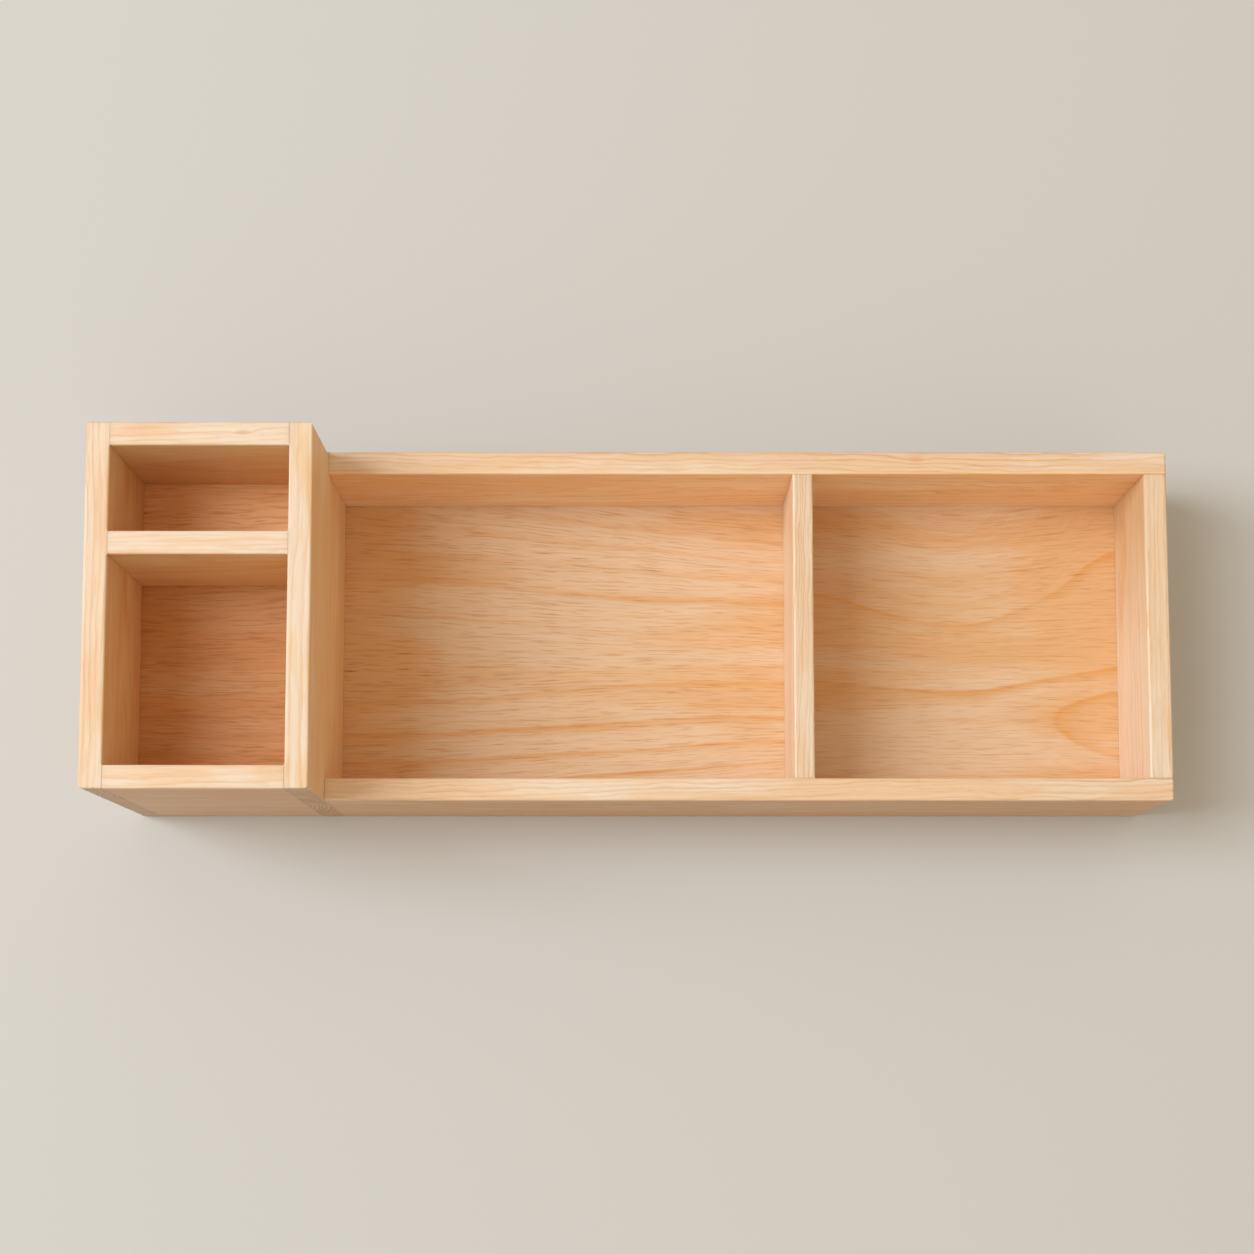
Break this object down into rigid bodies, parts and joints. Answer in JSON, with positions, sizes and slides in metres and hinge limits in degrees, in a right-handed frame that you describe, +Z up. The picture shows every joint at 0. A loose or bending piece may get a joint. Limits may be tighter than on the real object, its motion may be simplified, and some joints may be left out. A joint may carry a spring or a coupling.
{
  "type": "desk caddy",
  "caption": "Wooden desk caddy: a tall divided pen tower at the left end of a long, low divided tray, butt-jointed from plain boards on hidden dowels.",
  "frame": {"origin": "on the desk, under the middle of the overall box", "axes": "+X to the right, from the tower along the tray; +Y to the back; +Z up"},
  "size_m": [0.42, 0.14, 0.105],
  "materials": {
    "board_wood": "sanded pine, clear matt finish",
    "floor_wood": "sanded flat-sawn pine, clear matt finish",
    "dowel_wood": "bare hardwood"
  },
  "bodies": {
    "root": {"tower_left_side": "board_wood", "tower_right_side": "board_wood", "tower_front": "board_wood", "tower_back": "board_wood", "tower_divider": "board_wood", "tower_floor": "floor_wood", "tray_front_rail": "board_wood", "tray_back_rail": "board_wood", "tray_end": "board_wood", "tray_divider": "board_wood", "tray_floor": "floor_wood", "tower_front_left_dowels": "dowel_wood", "tower_back_left_dowels": "dowel_wood", "tower_front_right_dowel": "dowel_wood", "tower_back_right_dowel": "dowel_wood", "front_rail_through_dowels": "dowel_wood", "back_rail_through_dowels": "dowel_wood", "tower_divider_left_dowels": "dowel_wood", "tower_divider_right_dowels": "dowel_wood", "tray_divider_front_dowels": "dowel_wood", "tray_divider_back_dowels": "dowel_wood", "tray_end_front_dowels": "dowel_wood", "tray_end_back_dowels": "dowel_wood"}
  },
  "joints": []
}
